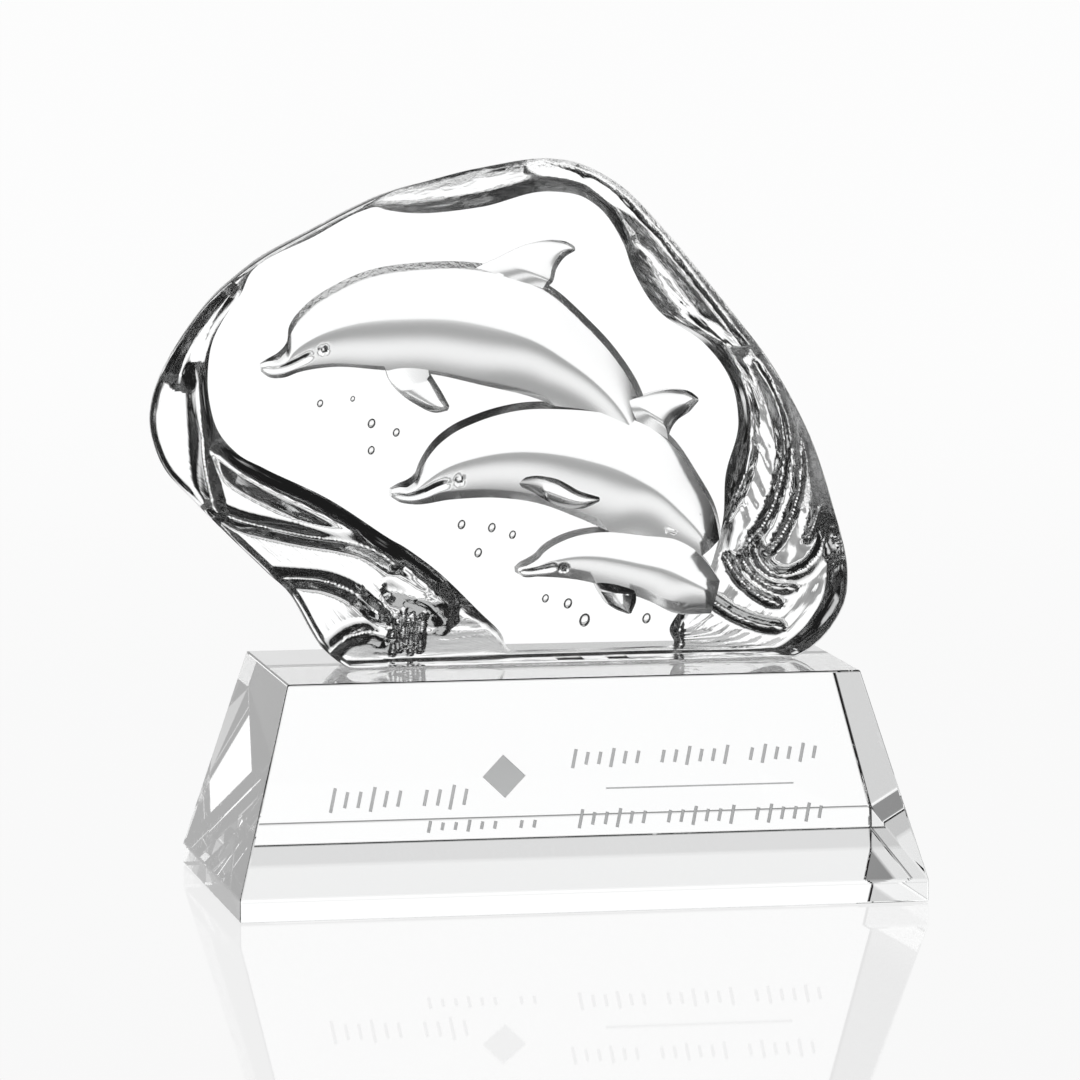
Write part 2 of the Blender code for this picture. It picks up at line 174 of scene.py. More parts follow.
# Lines of water on the rim, from end to end: rise, half width and points. A sunk line has a negative rise
RIM_LINES = (
    (4.6, 5.0, ((-81.5, 98), (-89, 90), (-95, 80), (-97.5, 72))),
    (-4.6, 3.6, ((-93, 79), (-92, 70), (-91.5, 62), (-91, 54), (-89.5, 46), (-87, 38))),
    (-4.8, 4.4, (
        (-89, 57), (-81, 50.5), (-72, 45.5), (-63, 41), (-52.5, 35), (-44, 29.5), (-34, 21.5), (-24, 12.5))),
    (-4.4, 2.6, (
        (-91, 42.5), (-82.5, 38.5), (-73.5, 36), (-65, 34), (-54.5, 32), (-46.5, 29.5), (-39.5, 24))),
    (-4.2, 2.6, ((-76, 23.5), (-67, 22.8), (-58, 21.5), (-51.5, 18.5), (-46.5, 14), (-41, 8))),
    (-4.0, 3.0, ((-58, 3), (-53, 7), (-46.5, 8), (-41, 6))),
    (-3.6, 4.2, ((-44, 19.5), (-37, 17.5), (-30, 13.5), (-25, 8))),
    (-3.4, 2.8, ((-8, 127.5), (0, 126.5), (8, 123.5), (14, 118.5), (18, 112.5), (21, 105))),
    (-3.4, 2.8, ((8, 125.5), (17, 118.5), (25, 110.5), (32, 102.5), (38, 95), (43.5, 88), (50, 80))),
    (-4.2, 3.6, ((29, 87), (37, 85), (45, 81.5), (52, 80))),
    (-4.0, 2.4, ((44, 82), (49.5, 73), (52.7, 61), (52, 50), (48.5, 40), (44, 31))),
    (-3.6, 1.8, ((53, 77), (59, 66), (61.5, 56), (61, 45), (57.5, 35), (52, 27))),
    (-3.4, 1.6, ((59, 71), (64.5, 61), (66.3, 51), (65.5, 40), (62, 31), (58, 24.5))),
    (-3.2, 1.8, ((65, 62), (69.5, 54), (71.5, 45), (71, 36), (68.5, 28))),
    (3.0, 2.2, ((75, 36), (73.5, 27), (68.5, 20.8), (61.5, 19.8), (57, 23.5), (54.5, 31))),
    (3.0, 1.9, ((47, 26), (52, 18.5), (57.5, 14), (63, 11.5))),
    (2.8, 1.8, ((51, 26.5), (55.5, 19.5), (61, 16.5), (67, 16))),
    (3.0, 2.0, ((42, 15), (51, 9), (57.5, 6.5), (64, 5.5))),
    (-2.4, 1.4, ((35.5, 10), (35, 5), (35.5, 0.5))),
    (-1.8, 0.9, ((-41, 11), (-40.5, 6), (-41, 1))),
    (-2.0, 0.9, ((-38.3, 14), (-38.3, 8), (-38.8, 2))),
    (-1.8, 0.9, ((-35.5, 12), (-36, 6), (-36, 1))),
    (-2.0, 0.9, ((-32.6, 13), (-33.4, 7), (-33.4, 1.5))),
)
LINE_STEPS = 60
LINE_SOFTNESS = 0.6
LINE_POWER = 1.5
LINE_FADE = 0.12
LINE_TAPER = 0.35
LINE_MARGIN = 2.0

# Rough moulding of the rim: height, and the length of its features along the outline and across the rim
MOULD_HEIGHT = 0.6
MOULD_ALONG = 16.0
MOULD_ACROSS = 3.0
MOULD_MARGIN = 1.5
MOULD_FINENESS = 0.8
MOULD_STEP = 2.2
MOULD_OCTAVES = 3

# Where the moulded surface is rougher than this, the outer share of the rim is covered in fine beads
BEADED_FROM = 0.68
BEADED_SHARE = 0.36

# Each dolphin: upper and lower outlines, depth of the floor's edge and of its dome as shares of the slab,
# width of the sloping wall along its back, place of the eye, mouth line, and steps along and across
DOLPHINS = {
    "upper": (
        ((-75.8, 78.2), (-74, 79.3), (-71, 81), (-69, 83.3), (-68.3, 87.5), (-63, 94), (-57, 97.8),
         (-50, 101), (-34, 103.5), (-18.5, 103), (0, 96.7), (9.5, 88.5), (17.5, 80), (24.5, 69), (27, 61)),
        ((-75.6, 76.2), (-73.5, 74.7), (-70, 74.5), (-66, 75.8), (-57.5, 77), (-44.5, 76), (-30.5, 74.5),
         (-18, 71.5), (-4.5, 68), (11, 60.5), (18, 55)),
        0.18, 0.34, 1.9, (-59.6, 81.6),
        ((-75.5, 77.1), (-72.2, 76.7), (-68.8, 77.3), (-65.3, 78.8), (-62.3, 80.5)), 220, 42),
    "middle": (
        ((-41.6, 45.0), (-39.5, 46.2), (-37, 47.2), (-35.2, 48.6), (-34, 51.5), (-30, 57.5), (-25.5, 61),
         (-20, 63.5), (-8, 66.5), (4, 66.5), (16, 65), (24.5, 62.5), (32, 57.5), (39.5, 47.5), (45, 37.5),
         (46.5, 31)),
        ((-41.6, 43.0), (-39.5, 41.7), (-36, 41), (-26, 42), (-14, 42.2), (-3, 40.5), (7.5, 36.5),
         (16.5, 32.5), (26.5, 29.5), (38.5, 24)),
        0.28, 0.24, 1.7, (-24.0, 47.0),
        ((-41.2, 43.6), (-37, 43.0), (-32.8, 44.0), (-29.3, 45.7), (-26.2, 46.5)), 180, 36),
    "small": (
        ((-8.4, 23.6), (-7, 24.8), (-5, 25.8), (-3.2, 26.9), (-1.5, 28.7), (4.5, 32), (12, 33.5),
         (24.5, 32.5), (36.5, 30), (41.5, 25.5), (45.5, 20)),
        ((-8.2, 22.2), (-7, 21.5), (-3, 21.4), (9, 20), (17.5, 17.5), (27, 14), (33, 11), (43, 10.5)),
        0.34, 0.12, 1.0, (3.6, 23.4),
        ((-8, 22.9), (-4.3, 22.8), (-0.8, 23.4), (1.8, 24)), 130, 30),
}
HEAD_FIRST = 1.25

# Dome of the floor: where it is deepest, from the lower outline, the power of its curve, and how soon the
# details of the skin start on it
DEEPEST_SHARE = 0.58
DOME_POWER = 1.25
SKIN_START = 4

# Wall along the back: rows, widest share of the girth, how soon it starts behind the beak, and its rise
WALL_ROWS = 5
BACK_WALL_SHARE = 0.3
BACK_WALL_START = 12
BACK_WALL_RISE = 0.92

# Rise and half width of the mouth's groove
MOUTH = (-0.70, 0.90)

# Eye: seen from the front, a raised middle in a sunk ring
EYE_RADIUS = 0.75
EYE_DEPTH = 0.7
EYE_STRETCH = 1.4
LID_RING = 1.3
LID_SHARPNESS = 2.2
PUPIL_DEPTH = 0.9
PUPIL_SHARPNESS = 1.6

# Each fin: leading edge, trailing edge and depth as a share of the slab
FINS = {
    "upper_back_fin": (
        ((-23, 99.5), (-19.7, 102), (-14.5, 104.3), (-9.2, 106.8), (-4.5, 108.3), (0.5, 108.8), (5, 107.7),
         (5.9, 106.9)),
        ((-5, 95), (0.2, 98), (1.2, 101.4), (3.4, 104.4), (5.9, 105.9)), 0.20),
    "upper_side_fin": (
        ((-43.5, 77.3), (-42.3, 73.5), (-39.5, 70), (-35.5, 67), (-30, 64.7), (-27.2, 65.2)),
        ((-33, 77.3), (-31.2, 74), (-28.7, 70), (-26.8, 66.6)), 0.30),
    "middle_back_fin": (
        ((17, 60), (20, 66.3), (24.5, 68), (32.5, 69.5), (37, 68.7), (38.8, 67.3)),
        ((31, 53), (32, 59.5), (33.5, 61.5), (36.5, 63.5), (38.8, 66.1)), 0.30),
    "middle_side_fin": (
        ((-9.6, 46.6), (-4, 48), (0.5, 47.3), (8, 43.5), (12.3, 42.2)),
        ((-9.3, 45.6), (-5, 43.7), (-0.5, 41), (8, 39.3), (12.1, 40.9)), 0.58),
    "small_back_fin": (
        ((24, 29), (25.5, 33), (31.5, 35.5), (36.5, 37), (39.8, 37.2)),
        ((35, 27), (36.5, 31), (37, 33.5), (40, 36.4)), 0.30),
    "small_side_fin": (
        ((11, 22), (13.5, 17), (16.5, 13), (20.2, 11.3)),
        ((22, 19), (22.7, 14.5), (21.6, 11.6)), 0.44),
}

# A fin's root has a share of its depth, which grows to the whole over a share of its length.
# Its floor is hollow, and sinks by one more share of the slab along the middle
FIN_BASE = 0.45
FIN_RISE = 0.35
FIN_HOLLOW = 0.08

# Droplets: x, z and radius. They are stretched along a line that leans
DROPLETS = (
    (-60, 67.5, 0.8), (-51.5, 68.5, 0.6), (-46.5, 62, 1.0), (-40, 59.5, 0.9), (-46.5, 55, 0.9),
    (-22.5, 35, 1.0), (-14.5, 34, 1.0), (-9, 32, 0.9), (-18, 27.5, 1.0), (0, 15, 0.9), (6, 13.5, 1.1),
    (10.5, 9, 1.4), (27, 9, 1.1),
)
DROPLET_STRETCH = 1.3
DROPLET_LEAN = math.radians(20)

# Grids of the fine surfaces
OUTLINE_STEPS = 1000
RIM_STEPS = 60
ARRIS_STEPS = 4
FIN_ALONG = 36
FIN_ACROSS = 14
DROPLET_SIDES = 16
DROPLET_RINGS = 10

# How far a cutter reaches out past the thickness of the slab's foot
CUT_THROUGH = 7.0

# A cut piece is smooth where its faces meet below this angle, and its faces above this area are flat
SMOOTH_ANGLE = math.radians(35)
FLAT_AREA = 1e-5

# Fine relief of the materials: scale of its noise along each axis, and its height
CARVED_BUMP = (44.0, 26.0, 1.0), 0.00007
BEADED_BUMP = (620.0, 620.0, 620.0), 0.0005
ROUGH_BUMP = (900.0, 900.0, 900.0), 0.0003
BUMP_DETAIL = 3.0
BUMP_ROUGHNESS = 0.6

# Floor and camera
FLOOR_DROP = 0.0002
FLOOR_BLUR = 0.03
FILM_WIDTH = 36.0
SIGHT_RANGE = 100.0
BOUNCES = 32
CRYSTAL_BOUNCES = 24

# Softboxes round the object: the heading of the middle, in degrees from +Y towards +X, the half width, and
# the brightness over the elevation in degrees. The last one is the light from straight below
SOFTBOXES = (
    (9.0, 27.0, (
        (-50, 0.0), (-43, 0.20), (-38, 0.62), (-31, 0.66), (-29.5, 0.97), (-24.5, 0.97), (-23.5, 0.26),
        (-20, 0.26), (-19.4, 0.97), (-16.6, 0.97), (-16, 0.26), (-13.2, 0.36), (-12, 1.0), (5, 1.0),
        (8, 0.86), (12, 0.80), (18, 0.70), (24, 0.50), (34, 0.0))),
    (-31.0, 9.0, ((-5, 0.0), (-2, 0.55), (18, 0.55), (22, 0.0))),
    (-45.0, 8.0, ((-32, 0.0), (-28, 0.75), (-20, 0.75), (-16, 0.0))),
    (-90.0, 8.0, ((-14, 0.0), (-10, 0.70), (6, 0.70), (10, 0.0))),
    (135.0, 8.0, ((-26, 0.0), (-21, 0.60), (-9, 0.60), (-4, 0.0))),
    (-140.0, 20.0, ((-66, 0.0), (-58, 0.90), (-32, 0.90), (-26, 0.0))),
    (0.0, 190.0, ((-90, 0.50), (-70, 0.50), (-64, 0.0))),
)
SOFTBOX_EDGE = 6.0


class AwardStage(bpy.types.PropertyGroup):
    azimuth: bpy.props.FloatProperty(
        name="Camera azimuth", description="Direction the camera stands in, from the front",
        default=math.radians(-11.03), unit="ROTATION")
    elevation: bpy.props.FloatProperty(
        name="Camera elevation", description="Height of the camera above the horizon",
        default=math.radians(6.68), unit="ROTATION")
    distance: bpy.props.FloatProperty(
        name="Camera distance", description="Distance from the camera to its target",
        default=2.0124, unit="LENGTH")
    target: bpy.props.FloatVectorProperty(
        name="Camera target", description="Point that the camera looks at",
        default=(-0.00279, 0.0, 0.08949), subtype="XYZ", unit="LENGTH")
    lens: bpy.props.FloatProperty(
        name="Lens", description="Focal length of the camera on a 36 mm sensor",
        default=259.93, min=1.0)
    floor_size: bpy.props.FloatProperty(
        name="Floor size", description="Side of the pale floor", default=60.0, unit="LENGTH")
    mirror: bpy.props.FloatProperty(
        name="Floor mirror", description="Share of the floor's look that is a faint mirror image",
        default=0.22, min=0.0, max=1.0, subtype="FACTOR")
    glow: bpy.props.FloatProperty(
        name="Softbox brightness", description="Brightness of the white softboxes",
        default=1.12, min=0.0)
    dark: bpy.props.FloatProperty(
        name="Studio darkness", description="Brightness of the studio between the softboxes",
        default=0.012, min=0.0)


class AwardCrystal(bpy.types.PropertyGroup):
    tint: bpy.props.FloatVectorProperty(
        name="Tint", description="Colour of the clear crystal", default=(0.992, 0.996, 0.996),
        min=0.0, max=1.0, subtype="COLOR")
    refraction: bpy.props.FloatProperty(
        name="Refraction", description="Index of refraction of the crystal", default=1.52, min=1.0)
    satin: bpy.props.FloatProperty(
        name="Satin", description="Roughness inside the pressed dolphins", default=0.16,
        min=0.0, max=1.0, subtype="FACTOR")
    rough: bpy.props.FloatProperty(
        name="Rough", description="Roughness of the walls along the dolphins' backs", default=0.30,
        min=0.0, max=1.0, subtype="FACTOR")
    frost: bpy.props.FloatProperty(
        name="Frost", description="Roughness of the engraved strokes", default=0.45,
        min=0.0, max=1.0, subtype="FACTOR")
    polish: bpy.props.FloatProperty(
        name="Polish", description="Roughness of the polished faces", default=0.0,
        min=0.0, max=1.0, subtype="FACTOR")


def math_node(tree, operation, *values):
    """A math node whose inputs are sockets or numbers, and its output."""
    node = tree.nodes.new("ShaderNodeMath")
    node.operation = operation
    for socket, value in zip(node.inputs, values):
        if isinstance(value, (int, float)):
            socket.default_value = value
        else:
            tree.links.new(value, socket)
    return node.outputs[0]


def ramp_node(tree, source, stops):
    """A smooth ramp of grey values over a factor from 0 to 1."""
    node = tree.nodes.new("ShaderNodeValToRGB")
    node.color_ramp.interpolation = "EASE"
    elements = node.color_ramp.elements
    elements.remove(elements[1])
    for place, value in stops:
        element = elements.new(place) if place > stops[0][0] else elements[0]
        element.position = place
        element.color = (value, value, value, 1.0)
    tree.links.new(source, node.inputs["Fac"])
    return node.outputs["Color"]


def height_share(degrees):
    """The share of the way from straight down to straight up at an elevation."""
    return math.sin(math.radians(degrees)) / 2 + 0.5


def softbox_light(tree, heading, height):
    """How much light comes from the softboxes in a direction, from 0 to 1."""
    light = None
    for middle, half, levels in SOFTBOXES:
        away = math_node(tree, "SUBTRACT", heading, math.radians(middle))
        away = math_node(tree, "ABSOLUTE", away)
        inside = math_node(tree, "SUBTRACT", math.radians(half), away)
        inside = math_node(tree, "DIVIDE", inside, math.radians(SOFTBOX_EDGE))
        inside = math_node(tree, "MULTIPLY_ADD", inside, 0.5, 0.5)
        tree.nodes[-1].use_clamp = True
        stops = [(height_share(elevation), level) for elevation, level in levels]
        box = math_node(tree, "MULTIPLY", inside, ramp_node(tree, height, stops))
        light = box if light is None else math_node(tree, "MAXIMUM", light, box)
    return light


def mix_values(tree, factor, first, second):
    """A float that goes from the first value to the second."""
    node = tree.nodes.new("ShaderNodeMix")
    node.data_type = "FLOAT"
    for name, value in (("Factor", factor), ("A", first), ("B", second)):
        socket = node.inputs[name]
        if isinstance(value, (int, float)):
            socket.default_value = value
        else:
            tree.links.new(value, socket)
    return node.outputs["Result"]


def make_world(stage):
    """White to the camera. What the crystal bends or mirrors sees softboxes in a dark studio."""
    world = bpy.data.worlds.new("studio")
    world.use_nodes = True
    bpy.context.scene.world = world
    tree = world.node_tree
    background = tree.nodes["Background"]
    background.inputs["Color"].default_value = (1.0, 1.0, 1.0, 1.0)
    direction = tree.nodes.new("ShaderNodeTexCoord").outputs["Generated"]
    split = tree.nodes.new("ShaderNodeSeparateXYZ")
    tree.links.new(direction, split.inputs["Vector"])
    heading = math_node(tree, "ARCTAN2", split.outputs["X"], split.outputs["Y"])
    height = math_node(tree, "MULTIPLY_ADD", split.outputs["Z"], 0.5, 0.5)
    light = mix_values(tree, softbox_light(tree, heading, height), stage.dark, stage.glow)
    paths = tree.nodes.new("ShaderNodeLightPath")
    seen = mix_values(tree, paths.outputs["Is Camera Ray"], light, 1.0)
    tree.links.new(seen, background.inputs["Strength"])


def make_floor(stage):
    """A pale floor with a faint mirror in it. The crystal sees the softboxes through it."""
    mesh = bmesh.new()
    bmesh.ops.create_grid(mesh, x_segments=1, y_segments=1, size=stage.floor_size / 2)
    bmesh.ops.translate(mesh, vec=(0, 0, BASE_LOW.z - FLOOR_DROP), verts=mesh.verts)
    floor = add_object("floor", mesh)
    floor.visible_glossy = False
    floor.visible_transmission = False
    material = bpy.data.materials.new("pale_floor")
    material.use_nodes = True
    tree = material.node_tree
    tree.nodes.clear()
    glow = tree.nodes.new("ShaderNodeEmission")
    gloss = tree.nodes.new("ShaderNodeBsdfGlossy")
    gloss.inputs["Roughness"].default_value = FLOOR_BLUR
    blend = tree.nodes.new("ShaderNodeMixShader")
    blend.inputs["Fac"].default_value = stage.mirror
    tree.links.new(glow.outputs["Emission"], blend.inputs[1])
    tree.links.new(gloss.outputs["BSDF"], blend.inputs[2])
    output = tree.nodes.new("ShaderNodeOutputMaterial")
    tree.links.new(blend.outputs["Shader"], output.inputs["Surface"])
    floor.data.materials.append(material)


def make_camera(stage):
    """The camera at the photograph's angle, with no shift and everything in focus."""
    lens = bpy.data.cameras.new("camera")
    camera = bpy.data.objects.new("camera", lens)
    bpy.context.scene.collection.objects.link(camera)
    level = math.cos(stage.elevation)
    back = Vector((
        math.sin(stage.azimuth) * level, -math.cos(stage.azimuth) * level, math.sin(stage.elevation)))
    camera.location = Vector(stage.target) + back * stage.distance
    camera.rotation_euler = (-back).to_track_quat("-Z", "Y").to_euler()
    lens.sensor_width = FILM_WIDTH
    lens.lens = stage.lens
    lens.clip_end = SIGHT_RANGE
    bpy.context.scene.camera = camera


def add_object(name, mesh):
    """An object at the origin that holds the mesh."""
    data = bpy.data.meshes.new(name)
    mesh.to_mesh(data)
    mesh.free()
    thing = bpy.data.objects.new(name, data)
    bpy.context.scene.collection.objects.link(thing)
    return thing


def crystal_material(name, crystal, roughness):
    """Clear crystal with plain values on its shader."""
    material = bpy.data.materials.new(name)
    material.use_nodes = True
    shader = material.node_tree.nodes["Principled BSDF"]
    shader.inputs["Base Color"].default_value = (*crystal.tint, 1.0)
    shader.inputs["Roughness"].default_value = roughness
    shader.inputs["IOR"].default_value = crystal.refraction
    shader.inputs["Transmission Weight"].default_value = 1.0
    return material


def add_bump(material, coordinates, scale, height):
    """Fine relief from a noise, which is stretched where its scale is small."""
    tree = material.node_tree
    places = tree.nodes.new("ShaderNodeTexCoord").outputs[coordinates]
    mapping = tree.nodes.new("ShaderNodeMapping")
    mapping.inputs["Scale"].default_value = scale
    tree.links.new(places, mapping.inputs["Vector"])
    texture = tree.nodes.new("ShaderNodeTexNoise")
    texture.inputs["Scale"].default_value = 1.0
    texture.inputs["Detail"].default_value = BUMP_DETAIL
    texture.inputs["Roughness"].default_value = BUMP_ROUGHNESS
    tree.links.new(mapping.outputs["Vector"], texture.inputs["Vector"])
    bump = tree.nodes.new("ShaderNodeBump")
    bump.inputs["Distance"].default_value = height
    tree.links.new(texture.outputs["Fac"], bump.inputs["Height"])
    tree.links.new(bump.outputs["Normal"], tree.nodes["Principled BSDF"].inputs["Normal"])


def smooth_curve(points, count, closed=False, crowd=1.0):
    """Rows along a smooth curve through the given rows of numbers, crowded towards its start above 1."""
    knots = np.array(points, dtype=float)
    if closed:
        knots = np.vstack([knots, knots[:1]])
    spans = np.linalg.norm(np.diff(knots, axis=0), axis=1)
    slopes = np.diff(knots, axis=0) / spans[:, None]
    first = -1 if closed else 0
    last = 0 if closed else -1
    slope_before = np.vstack([slopes[first], slopes])
    slope_after = np.vstack([slopes, slopes[last]])
    span_before = np.append(spans[first], spans)[:, None]
    span_after = np.append(spans, spans[last])[:, None]
    tangents = (slope_before * span_after + slope_after * span_before) / (span_before + span_after)
    starts = np.append(0.0, np.cumsum(spans))
    places = starts[-1] * np.linspace(0.0, 1.0, count, endpoint=not closed) ** crowd
    at = np.clip(np.searchsorted(starts, places, side="right") - 1, 0, len(spans) - 1)
    span = spans[at][:, None]
    t = ((places - starts[at]) / spans[at])[:, None]
    return (
        (2 * t**3 - 3 * t**2 + 1) * knots[at]
        + (t**3 - 2 * t**2 + t) * span * tangents[at]
        + (3 * t**2 - 2 * t**3) * knots[at + 1]
        + (t**3 - t**2) * span * tangents[at + 1]
    )


def full_thickness(x, z):
    """Thickness of the slab at its window, all in drawn units."""
    return FOOT_THICKNESS + (TOP_THICKNESS - FOOT_THICKNESS) * z / THICKNESS_RUN + SIDE_THICKENING * x


def slab_points(x, z, depth):
    """Points of the slab in metres, as rows, from drawn x, z and depth behind the front."""
    return np.stack([x * UNIT, depth * UNIT + SLAB_LOW.y, z * UNIT + SLAB_LOW.z], axis=-1)


def line_rise(x, z, rise, wide, points):
    """How far a line of water stands up or is sunk at each place: a crease that thins out at its ends."""
    line = smooth_curve(points, LINE_STEPS)
    nearest = np.full(np.shape(x), np.inf)
    along = np.zeros(np.shape(x))
    for step, (start, end) in enumerate(zip(line[:-1], line[1:])):
        run = end - start
        share = np.clip(((x - start[0]) * run[0] + (z - start[1]) * run[1]) / (run @ run), 0.0, 1.0)
        away = np.hypot(x - start[0] - share * run[0], z - start[1] - share * run[1])
        along = np.where(away < nearest, (step + share) / (len(line) - 1), along)
        nearest = np.minimum(nearest, away)
    fade = np.clip(np.minimum(along, 1 - along) / LINE_FADE, 0.0, 1.0) ** 0.5
    reach = wide * (LINE_TAPER + (1 - LINE_TAPER) * fade)
    crease = 1 - (np.hypot(nearest, LINE_SOFTNESS) - LINE_SOFTNESS) / reach
    return rise * fade * np.clip(crease, 0.0, 1.0) ** LINE_POWER


def mould_noise(across):
    """Flowing unevenness at each station, for a row at the given distance from the outline."""
    around = DRAWN_PERIMETER / MOULD_ALONG
    heights = []
    for step, distance in enumerate(across):
        turn = 2 * math.pi * step / len(across)
        place = Vector((math.cos(turn), math.sin(turn), 0.0)) * around / (2 * math.pi)
        place.z = distance / MOULD_ACROSS
        heights.append(noise.fractal(place, MOULD_FINENESS, MOULD_STEP, MOULD_OCTAVES))
    return np.array(heights)


def rim_rows(stations):
    """Rows of points from the outline to the window's edge, one row for each step across the rim."""
    outline, window = stations[:, 0:2], stations[:, 2:4]
    ledge, edge_share = stations[:, 4], stations[:, 5]
    width = np.linalg.norm(window - outline, axis=1)
    crowding = np.minimum(1.0, width / BROAD_RIM)
    wall_width = np.minimum(WALL_WIDTH + WALL_SPREAD * ledge, WALL_SHARE * width)
    rows = []
    for step in range(RIM_STEPS + 1):
        plain = step / RIM_STEPS
        share = plain + crowding * RIM_CROWDING * (0.5 - 0.5 * math.cos(math.pi * plain) - plain)
        x, z = (outline + (window - outline) * share[:, None]).T
        full = full_thickness(x, z)
        from_window = (1 - share) * width
        from_outline = share * width
        wall = np.minimum(1.0, from_window / wall_width)
        level = full - ledge * (1 - (1 - wall) ** WALL_POWER)
        rise = sum(line_rise(x, z, *line) for line in RIM_LINES)
        level += rise * np.minimum(1.0, from_window / LINE_MARGIN)
        moulding = MOULD_HEIGHT * stations[:, 6] * mould_noise(from_outline)
        level += moulding * np.minimum(1.0, from_window / MOULD_MARGIN)
        level = np.maximum(level, LEAST_THICKNESS)
        rounding = np.minimum(1.0, from_outline / np.minimum(OUTER_ROUND, ROUND_SHARE * width))
        edge = edge_share * level
        depth = edge + (level - edge) * np.sqrt(1 - (1 - rounding) ** 2)
        rows.append(slab_points(x, z, depth))
    return rows


def slab_rows():
    """Closed rows from the front's edge, round its arris and across the rim to the window's edge."""
    stations = smooth_curve(STATIONS, OUTLINE_STEPS, closed=True)
    stations[:, 1] = np.maximum(stations[:, 1], 0.0)
    stations[:, 3] = np.maximum(stations[:, 3], WINDOW_SILL)
    along = np.roll(stations[:, :2], -1, axis=0) - np.roll(stations[:, :2], 1, axis=0)
    inward = np.column_stack([along[:, 1], -along[:, 0]])
    inward /= np.linalg.norm(inward, axis=1)[:, None]
    rows = []
    for step in range(ARRIS_STEPS):
        turn = math.pi / 2 * step / ARRIS_STEPS
        place = stations[:, :2] + inward * FRONT_ARRIS * (1 - math.sin(turn))
        x, z = place[:, 0], np.maximum(place[:, 1], FRONT_ARRIS * (1 - math.sin(turn)))
        rows.append(slab_points(x, z, np.full_like(x, FRONT_ARRIS * (1 - math.cos(turn)))))
    x, z = stations[:, 0], stations[:, 1]
    rows.append(slab_points(x, z, np.full_like(x, FRONT_ARRIS)))
    return rows + rim_rows(stations), stations[:, 6]


def make_slab_body(materials):
    """The slab as a ring-shaped grid, closed by its flat front and its flat window."""
    rows, roughness = slab_rows()
    mesh = bmesh.new()
    bmesh.ops.create_grid(mesh, x_segments=OUTLINE_STEPS, y_segments=len(rows) - 1, size=0.5)
    flow = mesh.loops.layers.uv.new("flow")
    for face in mesh.faces:
        middle = face.calc_center_median()
        beads = roughness[int((middle.x + 0.5) * OUTLINE_STEPS)] > BEADED_FROM
        face.smooth = True
        face.material_index = 2 if beads and middle.y + 0.5 < BEADED_SHARE else 1
        for loop in face.loops:
            loop[flow].uv = (loop.vert.co.x + 0.5, loop.vert.co.y + 0.5)
    for vert in mesh.verts:
        place = round((vert.co.x + 0.5) * OUTLINE_STEPS) % OUTLINE_STEPS
        row = round((vert.co.y + 0.5) * (len(rows) - 1))
        vert.co = rows[row][place]
    bmesh.ops.remove_doubles(mesh, verts=mesh.verts, dist=SEAM_GAP)
    for face in bmesh.ops.holes_fill(mesh, edges=mesh.edges)["faces"]:
        face.smooth = False
        face.material_index = 0
    bmesh.ops.recalc_face_normals(mesh, faces=mesh.faces)
    slab = add_object("sculpted_crystal", mesh)
    for material in materials:
        slab.data.materials.append(material)
    return slab


def extrude_out(mesh):
    """Carries the floor of a hollow out past the slab's back, as a closed cutter."""
    made = bmesh.ops.extrude_face_region(mesh, geom=mesh.faces[:])["geom"]
    for vert in [part for part in made if isinstance(part, bmesh.types.BMVert)]:
        vert.co.y = SLAB_LOW.y + (FOOT_THICKNESS + CUT_THROUGH) * UNIT
    bmesh.ops.recalc_face_normals(mesh, faces=mesh.faces)


